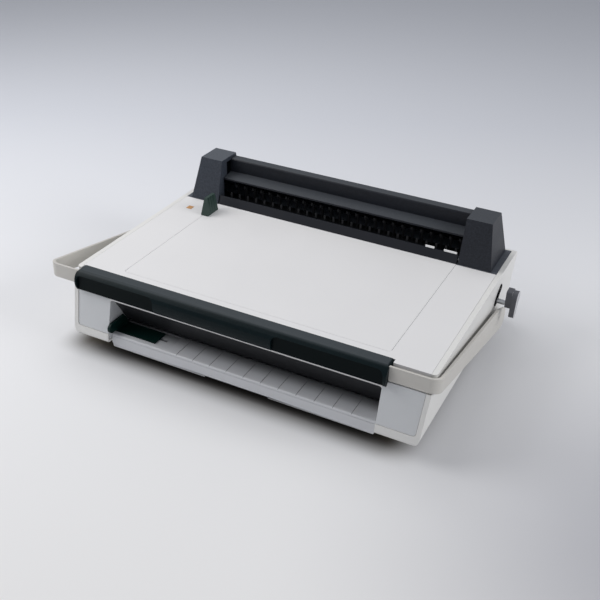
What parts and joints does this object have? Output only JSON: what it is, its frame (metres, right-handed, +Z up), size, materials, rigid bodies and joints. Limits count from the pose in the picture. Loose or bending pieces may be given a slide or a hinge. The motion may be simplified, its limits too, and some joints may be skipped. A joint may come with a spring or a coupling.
{
  "type": "comb binding machine",
  "caption": "Desk comb binding machine: front paper punch worked by a wraparound U handle, rear comb opener between two towers, chip drawer below.",
  "frame": {"origin": "on the table under the centre of the machine's box, handle down", "axes": "+X to the user's right along the paper throat, +Y from the front edge to the back, +Z up"},
  "size_m": [0.576, 0.3714, 0.179],
  "materials": {
    "cream_plastic": "fine satin moulding",
    "cheek_grey": "satin",
    "table_grey": "satin paint",
    "dark_grey": "fine satin moulding",
    "black": "matte",
    "steel": "brushed",
    "bright_steel": "ground",
    "bronze": "dull",
    "green_plastic": "satin",
    "handle_paint": "satin paint",
    "amber": "satin",
    "white": "matte",
    "lever_grey": "satin",
    "rubber": "matte"
  },
  "bodies": {
    "machine": {"casing": "cream_plastic", "left_cheek": "cheek_grey", "right_cheek": "cheek_grey", "top_cover": "cream_plastic", "work_panel": "cream_plastic", "gauge_tabs": "white", "amber_insert": "amber", "edge_stop": "green_plastic", "comb_deck": "dark_grey", "left_tower": "dark_grey", "right_tower": "dark_grey", "rear_beam": "black", "finger_plate": "steel", "lead_in": "dark_grey", "paper_table": "table_grey", "die_plate": "steel", "stripper_plate": "steel", "left_frame": "steel", "right_frame": "steel", "cam_guides": "black", "shaft_bushes": "bronze", "opener_bushes": "bronze", "base_pan": "black", "feet": "rubber", "rear_cover": "cream_plastic", "screws": "bright_steel", "handle_stops": "rubber"},
    "handle": {"handle_bar": "handle_paint", "handle_grip": "green_plastic", "handle_shaft": "steel", "drive_cranks": "steel"},
    "cam_bars": {"left_cam_bar": "steel", "right_cam_bar": "steel", "cam_tie": "steel"},
    "punch": {"punch_bar": "steel", "punch_pins": "bright_steel"},
    "opener": {"opener_shaft": "steel", "opener_arms": "steel", "opener_crank": "steel", "opener_paddle": "lever_grey"},
    "hooks": {"hook_carriage": "steel"},
    "edge_guide": {"edge_guide": "green_plastic"},
    "drawer": {"drawer_front": "table_grey", "chip_tray": "dark_grey"}
  },
  "joints": [
    {"name": "handle_lift", "type": "hinge", "parent": "machine", "child": "handle", "pos_m": [0, 0.08715, 0.05], "axis": [-1, 0, 0], "range_deg": [0, 50]},
    {"name": "cam_slide", "type": "slide", "parent": "machine", "child": "cam_bars", "axis": [0, 1, 0], "range_m": [0, 0.0136]},
    {"name": "punch_slide", "type": "slide", "parent": "machine", "child": "punch", "axis": [0, 0, 1], "range_m": [0, 0.0136]},
    {"name": "comb_lever", "type": "hinge", "parent": "machine", "child": "opener", "pos_m": [0, 0.13215, 0.0625], "axis": [-1, 0, 0], "range_deg": [0, 28]},
    {"name": "hook_slide", "type": "slide", "parent": "machine", "child": "hooks", "axis": [0, 1, 0], "range_m": [0, 0.0122]},
    {"name": "guide_slide", "type": "slide", "parent": "machine", "child": "edge_guide", "axis": [1, 0, 0], "range_m": [0, 0.022]},
    {"name": "drawer_slide", "type": "slide", "parent": "machine", "child": "drawer", "axis": [0, -1, 0], "range_m": [0, 0.12]}
  ],
  "couplings": [
    {"joint": "cam_slide", "follows": "handle_lift", "m_per_rad": 0.015497},
    {"joint": "punch_slide", "follows": "handle_lift", "m_per_rad": 0.015497},
    {"joint": "hook_slide", "follows": "comb_lever", "m_per_rad": 0.024752}
  ]
}
